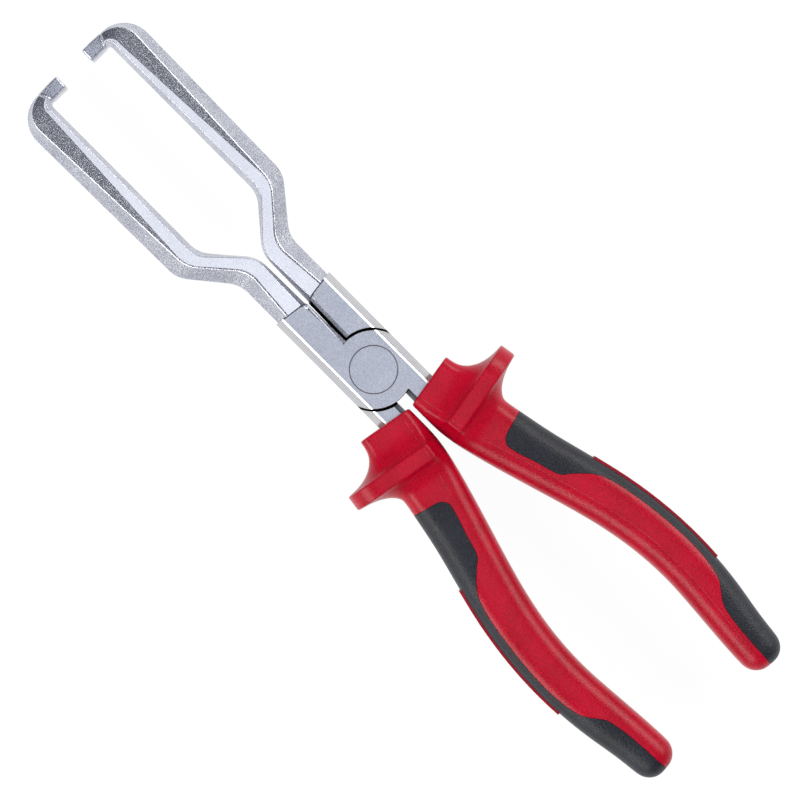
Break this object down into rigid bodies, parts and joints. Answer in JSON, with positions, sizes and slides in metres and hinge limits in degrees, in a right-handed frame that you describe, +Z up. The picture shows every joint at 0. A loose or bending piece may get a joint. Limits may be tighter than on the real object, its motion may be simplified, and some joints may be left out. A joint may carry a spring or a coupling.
{
  "type": "fuel line release pliers",
  "caption": "Riveted lap-joint pliers with long parallel dog-legged jaws, short inward tips and two-part plastic handles with finger guards, for releasing line couplings.",
  "frame": {"origin": "centre of the rivet's lower end face, on the pivot axis", "axes": "+X along the tool to the jaw tips, +Y to the jaw of the upper half, +Z up along the rivet"},
  "size_m": [0.2301, 0.0568, 0.0216],
  "materials": {
    "forged_steel": "nickel plated forging, joint faces ground satin",
    "rivet_steel": "ground flush, satin",
    "red_hard_plastic": "fine eroded texture, satin",
    "black_soft_plastic": "soft overmould, matte"
  },
  "bodies": {
    "upper_half": {"jaw_half_upper": "forged_steel", "pivot_rivet": "rivet_steel", "handle_shell_upper": "red_hard_plastic", "grip_inlay_upper": "black_soft_plastic"},
    "lower_half": {"jaw_half_lower": "forged_steel", "handle_shell_lower": "red_hard_plastic", "grip_inlay_lower": "black_soft_plastic"}
  },
  "joints": [
    {"name": "pivot", "type": "hinge", "parent": "upper_half", "child": "lower_half", "pos_m": [0, 0, 0.005], "axis": [0, 0, -1], "range_deg": [-1.5, 40]}
  ]
}
